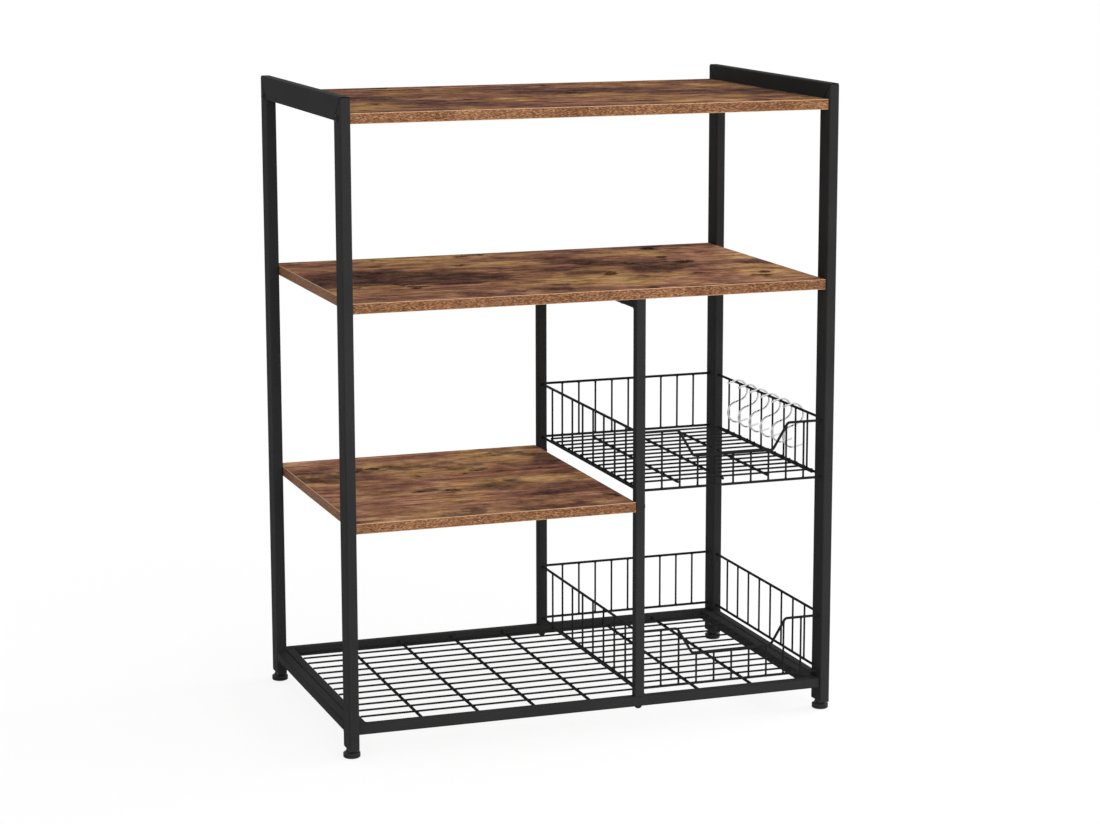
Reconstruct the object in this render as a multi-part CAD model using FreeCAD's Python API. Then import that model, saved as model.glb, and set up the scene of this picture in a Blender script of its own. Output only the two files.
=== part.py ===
import FreeCAD
import Part
import math
import os

# Bakers rack: two welded side frames, a bottom frame with a wire mesh, a divider, three boards,
# two wire baskets, six S-hooks and four levelling feet. Millimetres, Z up, front towards -Y,
# origin on the floor under the middle of the rack.

# Overall size
width = 750.0
depth = 460.0
height = 945.0

# Tubes: the posts and top rails share one rectangular tube, everything else a square one
post_width = 15.0
post_depth = 35.0
bar_size = 15.0
tube_wall = 1.2
tube_corner = 1.5

# Round forms are made of flats; a diameter is measured across them
wire_flat_count = 8
disc_flat_count = 16
corner_flat_count = 3

# Levels above the floor
floor_gap = 13.0
low_rail_level = 35.0
middle_shelf_level = 643.0
small_shelf_level = 329.5
upper_basket_level = 359.5
lower_basket_level = 60.5

# Boards
board_thickness = 15.0
board_setback = 4.0
edging_thickness = 1.0
top_shelf_drop = 3.0

# Bottom frame, its mesh and the divider
bottom_setback = 5.0
mesh_wire = 3.0
mesh_bearer = 4.5
mesh_wire_count = 13
mesh_bearer_count = 7
divider_place = 70.0

# Baskets: rims, uprights and the dip in each front rim
rim_wire = 4.0
upright_wire = 3.0
basket_height = 86.0
front_upright_count = 9
side_upright_count = 8
rim_insertion = 3.0
rim_clearance = 0.3
dip_shoulder = 54.0
dip_run = 24.0
dip_fall = 39.5
dip_bend = 6.0

# Floor of the upper basket
floor_wire = 3.0
floor_bearer = 4.0
floor_wire_count = 14
floor_bearer_count = 5
floor_margin = 15.0
floor_wire_end = 3.0

# S-hooks on the upper basket's right rim
hook_wire = 3.0
hook_width = 36.0
hook_height = 70.5
hook_gap = 0.5
hook_offset = 8.5
hook_count = 6
hook_tip_angle = 105.0
hook_tip_length = 14.0
hook_arc_step_count = 7

# Levelling feet and the plugs they screw into
pad_diameter = 25.0
pad_height = 8.0
pad_groove_width = 1.2
pad_groove_depth = 1.2
pad_rib_count = 2
shoulder_diameter = 19.5
shoulder_height = 2.4
neck_diameter = 15.0
foot_gap = 0.3
stud_diameter = 6.0
stud_length = 26.0
stud_sink = 5.5
thread_clearance = 0.35
moulded_clearance = 0.1
plug_flange = 1.5
plug_flange_inset = 0.6
plug_length = 22.0

# Bolts, nuts and studs
bolt_diameter = 6.0
bolt_clearance = 0.3
bolt_head = 11.0
bolt_head_height = 2.6
bolt_crown_share = 0.55
dome_head_height = 4.5
board_bolt_grip = 32.0
nut_diameter = 10.0
nut_length = 12.5
nut_inset = 25.0
pin_diameter = 6.0
pin_grip = 14.0
pin_tail = 2.0
pin_clearance = 0.2
screw_diameter = 4.0
screw_head = 8.0
screw_head_height = 2.2
screw_grip = 9.0
screw_inset = 60.0
divider_bolt_grip = 15.0
insert_length = 20.0
rail_bolt_grip = 5.0
rail_bolt_pitch_share = 1.5

overrun = 5.0

half_width = width / 2
half_depth = depth / 2
inner_face = half_width - post_width
post_x = half_width - post_width / 2
post_y = half_depth - post_depth / 2
post_back = half_depth - post_depth
post_bottom = floor_gap + plug_flange
rail_level = height - post_depth
top_shelf_level = rail_level - top_shelf_drop
frame_face = half_depth - bottom_setback
frame_inside = frame_face - bar_size
bar_y = frame_face - bar_size / 2
low_rail_top = low_rail_level + bar_size
low_rail_middle = low_rail_level + bar_size / 2
divider_left = divider_place - bar_size / 2
divider_right = divider_place + bar_size / 2
sides = (("left", -1), ("right", 1))
ends = (("front", -1), ("back", 1))
baskets = (("upper", upper_basket_level), ("lower", lower_basket_level))

x_axis = FreeCAD.Vector(1, 0, 0)
y_axis = FreeCAD.Vector(0, 1, 0)
z_axis = FreeCAD.Vector(0, 0, 1)
origin = FreeCAD.Vector(0, 0, 0)


def point(x, y, z):
    return FreeCAD.Vector(x, y, z)


def save(name, *solids):
    """One STEP file per node; a node of several solids is a compound."""
    shape = solids[0] if len(solids) == 1 else Part.makeCompound(list(solids))
    shape.exportStep(os.path.join("parts", name + ".step"))


def rounded_outline(size_x, size_y, corner):
    """Closed rectangle round the origin with rounded corners."""
    corners = []
    for quarter, (along_x, along_y) in enumerate(((1, 1), (-1, 1), (-1, -1), (1, -1))):
        for number in range(corner_flat_count + 1):
            turn = (quarter + number / corner_flat_count) * math.pi / 2
            x = along_x * (size_x / 2 - corner) + corner * math.cos(turn)
            y = along_y * (size_y / 2 - corner) + corner * math.sin(turn)
            corners.append(point(x, y, 0))
    return Part.makePolygon(corners + corners[:1])


def upright_tube(size_x, size_y, length):
    """Rolled tube standing on the origin, open at both ends."""
    outside = Part.Face(rounded_outline(size_x, size_y, tube_corner)).extrude(z_axis * length)
    bore_x = size_x - 2 * tube_wall
    bore_y = size_y - 2 * tube_wall
    corner = point(-bore_x / 2, -bore_y / 2, -overrun)
    return outside.cut(Part.makeBox(bore_x, bore_y, length + 2 * overrun, corner))


def tube_along_y(size_x, size_z, length, x, z):
    """Tube lying front to back, centred on the rack's middle plane."""
    tube = upright_tube(size_x, size_z, length)
    tube.rotate(origin, x_axis, -90)
    tube.translate(point(x, -length / 2, z))
    return tube


def tube_along_x(size, length, x, y, z):
    """Square tube lying across the rack from x."""
    tube = upright_tube(size, size, length)
    tube.rotate(origin, y_axis, 90)
    tube.translate(point(x, y, z))
    return tube


def ring(diameter, flats, level):
    """Outline of a round form about the Z axis."""
    reach = diameter / 2 / math.cos(math.pi / flats)
    corners = []
    for number in range(flats):
        turn = (2 * number + 1) * math.pi / flats
        corners.append(point(reach * math.cos(turn), reach * math.sin(turn), level))
    return Part.makePolygon(corners + corners[:1])


def disc(diameter, bottom, top):
    """Upright disc round the Z axis."""
    return Part.Face(ring(diameter, disc_flat_count, bottom)).extrude(z_axis * (top - bottom))


def facing(start, direction):
    """Placement that carries the Z axis to a line through start."""
    return FreeCAD.Placement(start, FreeCAD.Rotation(z_axis, direction))


def rod(start, end, diameter):
    """Straight round wire or pin."""
    bar = Part.Face(ring(diameter, wire_flat_count, 0)).extrude(z_axis * start.distanceToPoint(end))
    bar.Placement = facing(start, end - start)
    return bar


def bent_wire(corners, diameter):
    """Round wire through the corners, mitred at each."""
    profile = ring(diameter, wire_flat_count, 0)
    profile.Placement = facing(corners[0], corners[1] - corners[0])
    return Part.makePolygon(corners).makePipeShell([profile], True, False, 1)


def eased(corners, bend):
    """The same corners, each inner one replaced by three points of a bend."""
    path = corners[:1]
    for before, corner, after in zip(corners, corners[1:], corners[2:]):
        into = (corner - before).normalize()
        out = (after - corner).normalize()
        turn = into.getAngle(out)
        reach = bend * math.tan(turn / 2)
        inward = (out - into).normalize()
        path.append(corner - into * reach)
        path.append(corner + inward * (bend / math.cos(turn / 2) - bend))
        path.append(corner + out * reach)
    return path + corners[-1:]


def prism_along_x(outline, x, length):
    """Solid with the same outline of (y, z) corners all along X."""
    corners = [point(x, y, z) for y, z in outline]
    face = Part.Face(Part.makePolygon(corners + corners[:1]))
    return face.extrude(x_axis * length)


def bolt(seat, direction, shank, grip, head, head_height):
    """Bolt with a crowned head; the seat is the point under the head, the shank runs along direction."""
    rings = [ring(head * bolt_crown_share, wire_flat_count, -head_height), ring(head, wire_flat_count, 0)]
    piece = Part.makeLoft(rings, True, True).fuse(rod(origin, z_axis * grip, shank))
    piece.Placement = facing(seat, direction)
    return piece


def board(x_start, x_end, level):
    """Board core and its four banding strips, before any hole is drilled."""
    front = -half_depth + board_setback
    back = half_depth - board_setback
    long = x_end - x_start
    deep = back - front
    core_long = long - 2 * edging_thickness
    core_deep = deep - 2 * edging_thickness
    core_corner = point(x_start + edging_thickness, front + edging_thickness, level)
    core = Part.makeBox(core_long, core_deep, board_thickness, core_corner)
    strips = []
    for y in (front, back - edging_thickness):
        strips.append(Part.makeBox(long, edging_thickness, board_thickness, point(x_start, y, level)))
    for x in (x_start, x_end - edging_thickness):
        corner = point(x, front + edging_thickness, level)
        strips.append(Part.makeBox(edging_thickness, core_deep, board_thickness, corner))
    return core, strips


def drill(shapes, holes):
    return [shape.cut(holes) for shape in shapes] if holes else shapes


os.makedirs("parts", exist_ok=True)

# Wire baskets. The rims' ends stand in holes in the posts and the uprights are welded between the
# rims. The front rim dips in the middle so that a hand can reach in.
rim_ends = []


def straight_rims(start, end, level):
    """Lower and upper rim between two posts, and the holes that their ends need."""
    heading = (end - start).normalize() * rim_insertion
    rims = []
    for z in (level, level + basket_height):
        lift = z_axis * z
        rims.append(rod(start - heading + lift, end + heading + lift, rim_wire))
        rim_ends.append(rod(start - heading + lift, start + heading + lift, rim_wire + 2 * rim_clearance))
        rim_ends.append(rod(end - heading + lift, end + heading + lift, rim_wire + 2 * rim_clearance))
    return rims


panel_start = divider_right
panel_end = inner_face
dip_rise = dip_fall / dip_run


def front_rim_height(x, level):
    """Height of the dipped front rim over the place x."""
    into_dip = min(x - panel_start, panel_end - x) - dip_shoulder
    return level + basket_height - min(max(into_dip, 0) * dip_rise, dip_fall)


def dipped_rim(y, level):
    top = level + basket_height
    low = top - dip_fall
    left = panel_start + dip_shoulder
    right = panel_end - dip_shoulder
    corners = [
        point(panel_start - rim_insertion, y, top),
        point(left, y, top),
        point(left + dip_run, y, low),
        point(right - dip_run, y, low),
        point(right, y, top),
        point(panel_end + rim_insertion, y, top),
    ]
    return bent_wire(eased(corners, dip_bend), rim_wire)


def upright(x, y, level, top, coped_rim=None):
    """Upright from the lower rim up to the rim at height top; its head may be coped round a rim."""
    foot = point(x, y, level + rim_wire / 2)
    if coped_rim:
        return rod(foot, point(x, y, top), upright_wire).cut(coped_rim)
    return rod(foot, point(x, y, top - rim_wire / 2), upright_wire)


# The hooks swing on this rim, so it is fully round
hook_rim_reach = post_back + rim_insertion
hook_rim_start = point(post_x, -hook_rim_reach, upper_basket_level + basket_height)
hook_rim = Part.makeCylinder(rim_wire / 2, 2 * hook_rim_reach, hook_rim_start, y_axis)

for basket, level in baskets:
    for end, sign in ends:
        plane = sign * bar_y
        rims = straight_rims(point(panel_start, plane, 0), point(panel_end, plane, 0), level)
        if end == "front":
            rims[1] = dipped_rim(plane, level)
        uprights = []
        pitch = (panel_end - panel_start) / (front_upright_count + 1)
        for number in range(1, front_upright_count + 1):
            x = panel_start + number * pitch
            if end == "front":
                uprights.append(upright(x, plane, level, front_rim_height(x, level), rims[1]))
            else:
                uprights.append(upright(x, plane, level, level + basket_height))
        save(f"{basket}_basket_{end}_panel", *rims, *uprights)

    for side, plane, reach in (("left", divider_place, frame_inside), ("right", post_x, post_back)):
        rims = straight_rims(point(plane, -reach, 0), point(plane, reach, 0), level)
        round_rim = None
        if basket == "upper" and side == "right":
            round_rim = hook_rim
            rims[1] = hook_rim
        uprights = []
        pitch = 2 * reach / (side_upright_count + 1)
        for number in range(1, side_upright_count + 1):
            y = -reach + number * pitch
            uprights.append(upright(plane, y, level, level + basket_height, round_rim))
        save(f"{basket}_basket_{side}_panel", *rims, *uprights)

# Floor of the upper basket: the two outer bearers lie beside the lower rims of the side panels and
# the thin wires lie across all the bearers.
bearer_level = upper_basket_level
bearer_offset = (rim_wire + floor_bearer) / 2
floor_level = bearer_level + (floor_bearer + floor_wire) / 2
floor_reach = post_back - floor_margin
floor_start = divider_place + bearer_offset
floor_end = post_x - bearer_offset
bearer_pitch = (floor_end - floor_start) / (floor_bearer_count - 1)
wire_pitch = 2 * (floor_reach - floor_wire_end) / (floor_wire_count - 1)
floor_rods = []
for number in range(floor_bearer_count):
    x = floor_start + number * bearer_pitch
    front = point(x, -floor_reach, bearer_level)
    back = point(x, floor_reach, bearer_level)
    floor_rods.append(rod(front, back, floor_bearer))
for number in range(floor_wire_count):
    y = -floor_reach + floor_wire_end + number * wire_pitch
    left = point(floor_start - floor_bearer / 2, y, floor_level)
    right = point(floor_end + floor_bearer / 2, y, floor_level)
    floor_rods.append(rod(left, right, floor_wire))
save("upper_basket_floor", *floor_rods)

# Bottom frame: square tubes between the side frames, the end rails between the long ones.
# The thin mesh wires lie flush with the frame's top on the bearers.
mesh_reach = inner_face - bar_size
mesh_level = low_rail_top - mesh_wire / 2
mesh_bearer_level = mesh_level - (mesh_wire + mesh_bearer) / 2
mesh_pitch = 2 * frame_inside / (mesh_wire_count + 1)
mesh_bearer_pitch = 2 * mesh_reach / (mesh_bearer_count + 1)
mesh_rods = []
for number in range(1, mesh_bearer_count + 1):
    x = -mesh_reach + number * mesh_bearer_pitch
    front = point(x, -frame_inside, mesh_bearer_level)
    mesh_rods.append(rod(front, point(x, frame_inside, mesh_bearer_level), mesh_bearer))
for number in range(1, mesh_wire_count + 1):
    y = -frame_inside + number * mesh_pitch
    mesh_rods.append(rod(point(-mesh_reach, y, mesh_level), point(mesh_reach, y, mesh_level), mesh_wire))
save("bottom_wire_mesh", *mesh_rods)

divider_bolt_holes = []
divider_bolts = []
for end, sign in ends:
    seat = point(divider_place, sign * bar_y, low_rail_level)
    tip = seat + z_axis * (bar_size + divider_bolt_grip)
    divider_bolt_holes.append(rod(seat - z_axis * overrun, tip, bolt_diameter + 2 * bolt_clearance))
    grip = bar_size + divider_bolt_grip
    divider_bolts.append(bolt(seat, z_axis, bolt_diameter, grip, bolt_head, dome_head_height))
save("divider_bolts", *divider_bolts)

for end, sign in ends:
    rail = tube_along_x(bar_size, 2 * inner_face, -inner_face, sign * bar_y, low_rail_middle)
    save(f"bottom_{end}_rail", rail.cut(divider_bolt_holes))

rail_bolt_y = frame_inside - mesh_pitch * rail_bolt_pitch_share
rail_bolts = []
for side, sign in sides:
    outward = x_axis * sign
    rail_x = sign * (inner_face - bar_size / 2)
    rail = tube_along_y(bar_size, bar_size, 2 * frame_inside, rail_x, low_rail_middle)
    lower_rail = tube_along_y(post_width, bar_size, 2 * post_back, sign * post_x, low_rail_middle)
    holes = []
    for end, end_sign in ends:
        seat = point(sign * mesh_reach, end_sign * rail_bolt_y, low_rail_middle)
        grip = bar_size + rail_bolt_grip
        rail_bolts.append(bolt(seat, outward, bolt_diameter, grip, bolt_head, bolt_head_height))
        tip = seat + outward * (grip + bolt_clearance)
        holes.append(rod(seat - outward * overrun, tip, bolt_diameter + 2 * bolt_clearance))
    save(f"bottom_{side}_rail", rail.cut(holes))
    save(f"{side}_lower_rail", lower_rail.cut(holes))
save("bottom_frame_bolts", *rail_bolts)

# Top shelf: four bolts through the posts into barrel nuts set in the board from below.
top_middle = top_shelf_level + board_thickness / 2
post_holes = []
top_holes = []
top_bolts = []
top_nuts = []
for side, sign in sides:
    for end, end_sign in ends:
        y = end_sign * post_y
        inward = x_axis * -sign
        seat = point(sign * half_width, y, top_middle)
        grip = post_width + board_bolt_grip
        top_bolts.append(bolt(seat, inward, bolt_diameter, grip, bolt_head, bolt_head_height))
        hole_end = seat + inward * (grip + bolt_clearance)
        hole = rod(seat - inward * overrun, hole_end, bolt_diameter + 2 * bolt_clearance)
        post_holes.append(hole)
        foot = point(sign * (inner_face - nut_inset), y, top_shelf_level)
        top_nuts.append(rod(foot, foot + z_axis * nut_length, nut_diameter).cut(hole))
        top_holes.append(hole)
        top_holes.append(rod(foot - z_axis * overrun, foot + z_axis * nut_length, nut_diameter))
save("top_shelf_bolts", *top_bolts)
save("top_shelf_nuts", *top_nuts)

core, strips = board(-inner_face, inner_face, top_shelf_level)
save("top_shelf", core.cut(top_holes))
save("top_shelf_edging", *drill(strips, top_holes))


def shelf_pin(face_x, sign, y, z):
    """Stud welded in a post's inner wall, and the hole that it needs in wall and board."""
    tail = point(face_x + sign * (tube_wall + pin_tail), y, z)
    tip = point(face_x - sign * pin_grip, y, z)
    hole_tip = point(face_x - sign * (pin_grip + pin_clearance), y, z)
    return rod(tail, tip, pin_diameter), rod(tail, hole_tip, pin_diameter + 2 * pin_clearance)


# Middle shelf: on four studs, with the divider's top rail screwed to it from below.
middle_middle = middle_shelf_level + board_thickness / 2
middle_pins = []
pin_holes = []
for side, sign in sides:
    for end, end_sign in ends:
        pin, hole = shelf_pin(sign * inner_face, sign, end_sign * post_y, middle_middle)
        middle_pins.append(pin)
        pin_holes.append(hole)
save("middle_shelf_pins", *middle_pins)

divider_rail_level = middle_shelf_level - bar_size
screws = []
screw_holes = []
for end, sign in ends:
    seat = point(divider_place, sign * (frame_inside - screw_inset), divider_rail_level)
    grip = bar_size + screw_grip
    screws.append(bolt(seat, z_axis, screw_diameter, grip, screw_head, screw_head_height))
    tip = seat + z_axis * (grip + bolt_clearance)
    screw_holes.append(rod(seat - z_axis * overrun, tip, screw_diameter + 2 * bolt_clearance))
save("divider_screws", *screws)

core, strips = board(-inner_face, inner_face, middle_shelf_level)
middle_holes = pin_holes + screw_holes
save("middle_shelf", core.cut(middle_holes))
save("middle_shelf_edging", *drill(strips, middle_holes))

# Small shelf: on two studs at the left posts, bolted through the divider at its right end.
small_middle = small_shelf_level + board_thickness / 2
small_pins = []
small_holes = []
for end, sign in ends:
    pin, hole = shelf_pin(-inner_face, -1, sign * post_y, small_middle)
    small_pins.append(pin)
    small_holes.append(hole)
save("small_shelf_pins", *small_pins)

small_bolts = []
small_bolt_holes = []
for end, sign in ends:
    seat = point(divider_right, sign * bar_y, small_middle)
    grip = bar_size + board_bolt_grip
    small_bolts.append(bolt(seat, -x_axis, bolt_diameter, grip, bolt_head, bolt_head_height))
    tip = seat - x_axis * (grip + bolt_clearance)
    small_bolt_holes.append(rod(seat + x_axis * overrun, tip, bolt_diameter + 2 * bolt_clearance))
save("small_shelf_bolts", *small_bolts)

core, strips = board(-inner_face, divider_left, small_shelf_level)
small_holes_all = small_holes + small_bolt_holes
save("small_shelf", core.cut(small_holes_all))
save("small_shelf_edging", *drill(strips, small_holes_all))

# Divider: two posts on the bottom frame and a rail under the middle shelf.
inserts = []
insert_size = bar_size - 2 * (tube_wall + moulded_clearance)
divider_height = middle_shelf_level - low_rail_top
for end, sign in ends:
    post = upright_tube(bar_size, bar_size, divider_height)
    post.translate(point(divider_place, sign * bar_y, low_rail_top))
    save(f"divider_{end}_post", post.cut(rim_ends + small_bolt_holes))
    corner = point(divider_place - insert_size / 2, sign * bar_y - insert_size / 2, low_rail_top)
    insert = Part.makeBox(insert_size, insert_size, insert_length, corner)
    inserts.append(insert.cut(divider_bolt_holes + rim_ends))
save("divider_inserts", *inserts)
divider_rail_middle = divider_rail_level + bar_size / 2
divider_rail = tube_along_y(bar_size, bar_size, 2 * frame_inside, divider_place, divider_rail_middle)
save("divider_top_rail", divider_rail.cut(screw_holes))

# Side frames: posts and top rail of one tube, mitred at the upper corners.
plug_x = post_width - 2 * (tube_wall + moulded_clearance)
plug_y = post_depth - 2 * (tube_wall + moulded_clearance)
for side, sign in sides:
    slab = sign * post_x - post_width / 2 - overrun
    slab_length = post_width + 2 * overrun
    rail = tube_along_y(post_width, post_depth, depth, sign * post_x, rail_level + post_depth / 2)
    for end, end_sign in ends:
        outer = end_sign * half_depth
        inner = end_sign * post_back
        beyond = end_sign * (half_depth + overrun)
        past_rail_end = ((outer, height), (beyond, height), (beyond, rail_level), (inner, rail_level))
        above = height + overrun
        past_post_end = ((outer, height), (outer, above), (inner, above), (inner, rail_level))
        rail = rail.cut(prism_along_x(past_rail_end, slab, slab_length))
        post = upright_tube(post_width, post_depth, height - post_bottom)
        post.translate(point(sign * post_x, end_sign * post_y, post_bottom))
        post = post.cut(prism_along_x(past_post_end, slab, slab_length))
        post = post.cut(post_holes + pin_holes + small_holes + rim_ends)
        save(f"{side}_{end}_post", post)
    save(f"{side}_top_rail", rail)

plugs = []
flange_x = post_width - 2 * plug_flange_inset
flange_y = post_depth - 2 * plug_flange_inset
bore = stud_diameter + 2 * thread_clearance
for side, sign in sides:
    for end, end_sign in ends:
        flange_corner = point(-flange_x / 2, -flange_y / 2, 0)
        flange = Part.makeBox(flange_x, flange_y, plug_flange, flange_corner)
        body = Part.makeBox(plug_x, plug_y, plug_length, point(-plug_x / 2, -plug_y / 2, plug_flange))
        hole = rod(z_axis * -overrun, z_axis * (plug_flange + plug_length + overrun), bore)
        plug = flange.fuse(body).cut(hole)
        plug.translate(point(sign * post_x, end_sign * post_y, floor_gap))
        plugs.append(plug)
save("post_plugs", *plugs)

# Levelling feet: a ribbed pad with a stepped neck, moulded round a threaded stud.
rib_pitch = (pad_height + pad_groove_width) / pad_rib_count
groove_diameter = pad_diameter - 2 * pad_groove_depth
neck_top = floor_gap - foot_gap
stud_seat = pad_height - stud_sink


def foot_pad():
    pad = disc(groove_diameter, 0, pad_height)
    pad = pad.fuse(disc(shoulder_diameter, pad_height, pad_height + shoulder_height))
    pad = pad.fuse(disc(neck_diameter, pad_height + shoulder_height, neck_top))
    for number in range(pad_rib_count):
        bottom = number * rib_pitch
        pad = pad.fuse(disc(pad_diameter, bottom, bottom + rib_pitch - pad_groove_width))
    bore = rod(z_axis * stud_seat, z_axis * (neck_top + overrun), stud_diameter + 2 * moulded_clearance)
    return pad.removeSplitter().cut(bore)


for side, sign in sides:
    for end, end_sign in ends:
        place = point(sign * post_x, end_sign * post_y, 0)
        pad = foot_pad()
        pad.translate(place)
        save(f"{end}_{side}_foot_pad", pad)
        seat = place + z_axis * stud_seat
        save(f"{end}_{side}_foot_stud", rod(seat, seat + z_axis * stud_length, stud_diameter))

# S-hooks: two equal loops with straight tips, joined by a straight, hung over the right upper rim
# beside an upright.
loop_radius = (hook_width - hook_wire) / 2
loop_spread = hook_height - hook_width
loop_slope = math.degrees(math.acos(2 * loop_radius / loop_spread))
rim_top = upper_basket_level + basket_height + rim_wire / 2
hook_middle = rim_top + hook_gap + hook_wire / 2 - loop_radius - loop_spread / 2


def on_loop(side, angle):
    """Point on the upper (1) or lower (-1) loop, which mirror each other through the middle."""
    turn = math.radians(angle)
    across = side * loop_radius * math.cos(turn)
    up = side * (loop_spread / 2 + loop_radius * math.sin(turn))
    return point(across, 0, up)


def s_hook():
    """Path from the upper loop's tip round to the lower one's, swept with the wire."""
    leave = loop_slope - 90
    step = (leave - hook_tip_angle) / hook_arc_step_count
    angles = [hook_tip_angle + number * step for number in range(hook_arc_step_count + 1)]
    upper = [on_loop(1, angle) for angle in angles]
    heading = math.radians(hook_tip_angle + 90)
    tip = upper[0] + point(math.cos(heading), 0, math.sin(heading)) * hook_tip_length
    upper = [tip] + upper
    lower = [place * -1 for place in upper]
    return bent_wire(upper + lower[::-1], hook_wire)


side_pitch = 2 * post_back / (side_upright_count + 1)
hook_start = (side_upright_count - hook_count) / 2
for number in range(1, hook_count + 1):
    hook = s_hook()
    y = post_back - (hook_start + number) * side_pitch + hook_offset
    hook.translate(point(post_x, y, hook_middle))
    save(f"s_hook_{number}", hook)
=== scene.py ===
import math

import bpy
import numpy as np
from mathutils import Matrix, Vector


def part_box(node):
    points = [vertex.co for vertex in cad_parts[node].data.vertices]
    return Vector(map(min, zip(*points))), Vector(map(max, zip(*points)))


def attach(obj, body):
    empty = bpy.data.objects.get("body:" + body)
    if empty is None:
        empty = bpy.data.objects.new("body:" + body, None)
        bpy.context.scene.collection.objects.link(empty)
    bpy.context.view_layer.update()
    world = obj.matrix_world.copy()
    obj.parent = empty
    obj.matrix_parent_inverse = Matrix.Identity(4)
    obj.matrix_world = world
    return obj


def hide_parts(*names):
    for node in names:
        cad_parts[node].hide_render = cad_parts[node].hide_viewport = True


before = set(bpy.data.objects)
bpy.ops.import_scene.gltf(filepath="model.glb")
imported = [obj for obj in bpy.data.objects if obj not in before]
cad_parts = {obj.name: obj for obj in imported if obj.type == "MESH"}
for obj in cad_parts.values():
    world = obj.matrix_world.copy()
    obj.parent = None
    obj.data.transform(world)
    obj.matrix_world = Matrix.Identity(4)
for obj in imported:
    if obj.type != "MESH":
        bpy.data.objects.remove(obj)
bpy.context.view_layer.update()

# Side frames. Each one is four lengths of rolled steel tube: two posts and a top rail that are mitred
# and welded at the upper corners, and a thinner lower rail welded between the posts. The welds are
# ground flush at the mitres, which leaves a fine seam, and the whole frame is powder coated black.
frame_corner = 0.0025
mitre_seam = 0.0014
mitre_seam_depth = 0.0025
butt_seam = 0.0003
bead_radius = 0.0012
bead_ripple = 0.0022
bead_ripple_share = 0.12
bead_fade_share = 0.1
bead_thinnest_share = 0.15


def span(node):
    """Lowest and highest corner of a CAD node."""
    low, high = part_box(node)
    return np.array(low), np.array(high)


def rounded_rectangle(half_u, half_v, corner, steps=6):
    """Closed outline: four quarter circles about the corner centres, joined by straight sides."""
    turn = np.arange(4)[:, None] * np.pi / 2 + np.linspace(0, np.pi / 2, steps + 1)
    sign = np.array([[1, 1], [-1, 1], [-1, -1], [1, -1]])
    u = sign[:, :1] * (half_u - corner) + corner * np.cos(turn)
    v = sign[:, 1:] * (half_v - corner) + corner * np.sin(turn)
    return np.stack([u.ravel(), v.ravel()], -1)


def skin(rings, looped=False):
    """Quads from each ring of points to the next. Unless the rings loop, a fan about the mean of each
    end ring closes that end."""
    count, around = rings.shape[:2]
    index = np.arange(count * around).reshape(count, around)
    lower = index if looped else index[:-1]
    upper = np.roll(index, -1, 0) if looped else index[1:]
    quads = np.stack([lower, np.roll(lower, -1, 1), np.roll(upper, -1, 1), upper], -1).reshape(-1, 4)
    if looped:
        return rings.reshape(-1, 3), quads, np.empty((0, 3), int)
    middles = rings[[0, -1]].mean(1)
    points = np.concatenate([rings.reshape(-1, 3), middles])
    first, last = np.broadcast_to([[count * around], [count * around + 1]], (2, around))
    start_fan = np.stack([first, np.roll(index[0], -1), index[0]], -1)
    end_fan = np.stack([last, index[-1], np.roll(index[-1], -1)], -1)
    return points, quads, np.concatenate([start_fan, end_fan])


def piece(name, surfaces, material, slot, body, *replaced, crease=35):
    """One object from several surfaces; edges sharper than the crease angle stay sharp."""
    starts = np.cumsum([0] + [len(points) for points, quads, fans in surfaces])
    points = np.concatenate([points for points, quads, fans in surfaces])
    quads = np.concatenate([quads + start for start, (_, quads, _) in zip(starts, surfaces)])
    fans = np.concatenate([fans + start for start, (_, _, fans) in zip(starts, surfaces)])
    sides = np.repeat([4, 3], [len(quads), len(fans)])
    mesh = bpy.data.meshes.new(name)
    mesh.vertices.add(len(points))
    mesh.vertices.foreach_set("co", points.ravel())
    mesh.loops.add(sides.sum())
    mesh.loops.foreach_set("vertex_index", np.concatenate([quads.ravel(), fans.ravel()]))
    mesh.polygons.add(len(sides))
    mesh.polygons.foreach_set("loop_start", np.cumsum(sides) - sides)
    mesh.polygons.foreach_set("use_smooth", np.ones(len(sides), bool))
    mesh.update(calc_edges=True)
    mesh.set_sharp_from_angle(angle=math.radians(crease))
    mesh.materials.append(material)
    made = bpy.data.objects.new(name, mesh)
    bpy.context.scene.collection.objects.link(made)
    weighting = made.modifiers.new("even shading", "WEIGHTED_NORMAL")
    weighting.keep_sharp = True
    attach(made, body)
    if replaced:
        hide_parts(*replaced)
    return made


butt_end = (None, butt_seam, butt_seam)


def tube(node, start=butt_end, end=butt_end):
    """Rounded rectangle carried along the node's longest side. Each end has a cut, which gives how far
    each point of that end stands back, and a seam over which the outline is drawn in by a depth."""
    low, high = span(node)
    along = int(np.argmax(high - low))
    u, v = (along + 1) % 3, (along + 2) % 3
    half = (high - low) / 2
    stations = ((low[along], start[2], start[0], 1), (low[along] + start[1], 0, start[0], 1),
                (high[along] - end[1], 0, end[0], -1), (high[along], end[2], end[0], -1))
    rings = []
    for place, inset, cut, inward in stations:
        outline = rounded_rectangle(half[u] - inset, half[v] - inset, frame_corner)
        ring = np.empty((len(outline), 3))
        ring[:, u] = outline[:, 0] + (low + high)[u] / 2
        ring[:, v] = outline[:, 1] + (low + high)[v] / 2
        ring[:, along] = place + (inward * cut(ring) if cut else 0)
        rings.append(ring)
    return skin(np.array(rings))


def mark(made, name, by_ring):
    """Point attribute with one value for each ring of a single skin, end middles included."""
    count = len(made.data.vertices)
    values = np.repeat(by_ring, count // len(by_ring))
    values = np.concatenate([values, np.take(by_ring, [0, -1])])[:count]
    attribute = made.data.attributes.new(name, "FLOAT", "POINT")
    attribute.data.foreach_set("value", values.astype(np.float32))


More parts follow.
